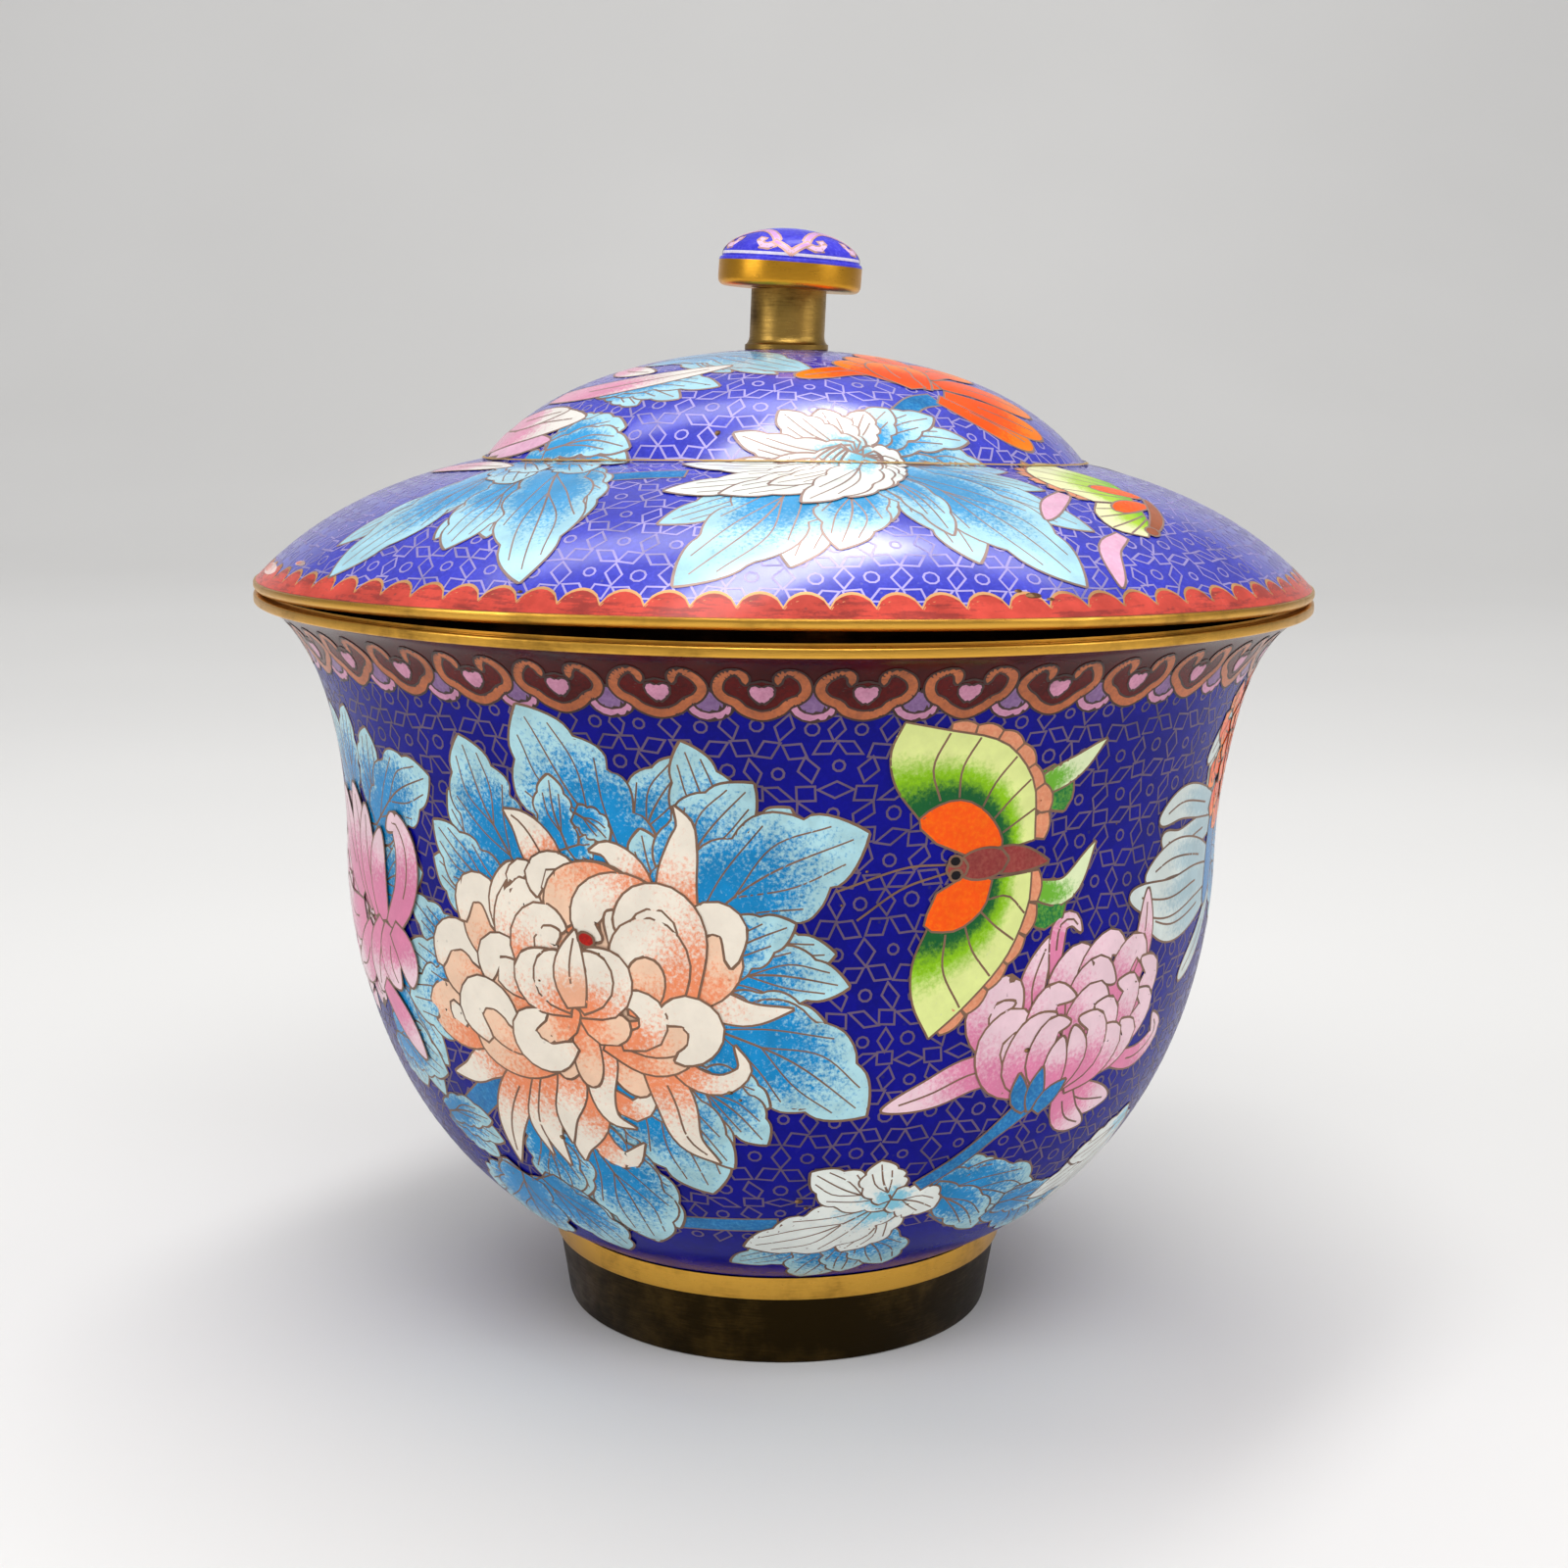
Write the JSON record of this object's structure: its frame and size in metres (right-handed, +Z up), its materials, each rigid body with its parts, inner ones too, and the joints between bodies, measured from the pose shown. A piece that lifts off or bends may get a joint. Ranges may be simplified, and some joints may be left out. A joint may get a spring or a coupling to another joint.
{
  "type": "cloisonne lidded urn",
  "caption": "Round enamelled copper urn with a flared mouth on a brass foot ring, and a domed lid with a mushroom knob that lifts off.",
  "frame": {"origin": "centre of the foot's underside, on the surface that the urn stands on", "axes": "+Z up through the knob, -Y towards the viewer of the picture (the side with the large chrysanthemum and the butterfly), +X to that viewer's right"},
  "size_m": [0.2, 0.2, 0.2081],
  "materials": {
    "bowl_enamel": "fired glossy enamel between brass wires",
    "lid_enamel": "fired glossy enamel between brass wires",
    "knob_enamel": "fired glossy enamel with a gilt edge",
    "foot_brass": "gilt band over a tarnished wall",
    "collar_brass": "tarnished",
    "knob_brass": "worn satin"
  },
  "bodies": {
    "root": {"bowl": "bowl_enamel", "foot_ring": "foot_brass", "lid": "lid_enamel", "lid_collar": "collar_brass", "knob_stem": "knob_brass", "knob_cap": "knob_enamel"}
  },
  "joints": []
}
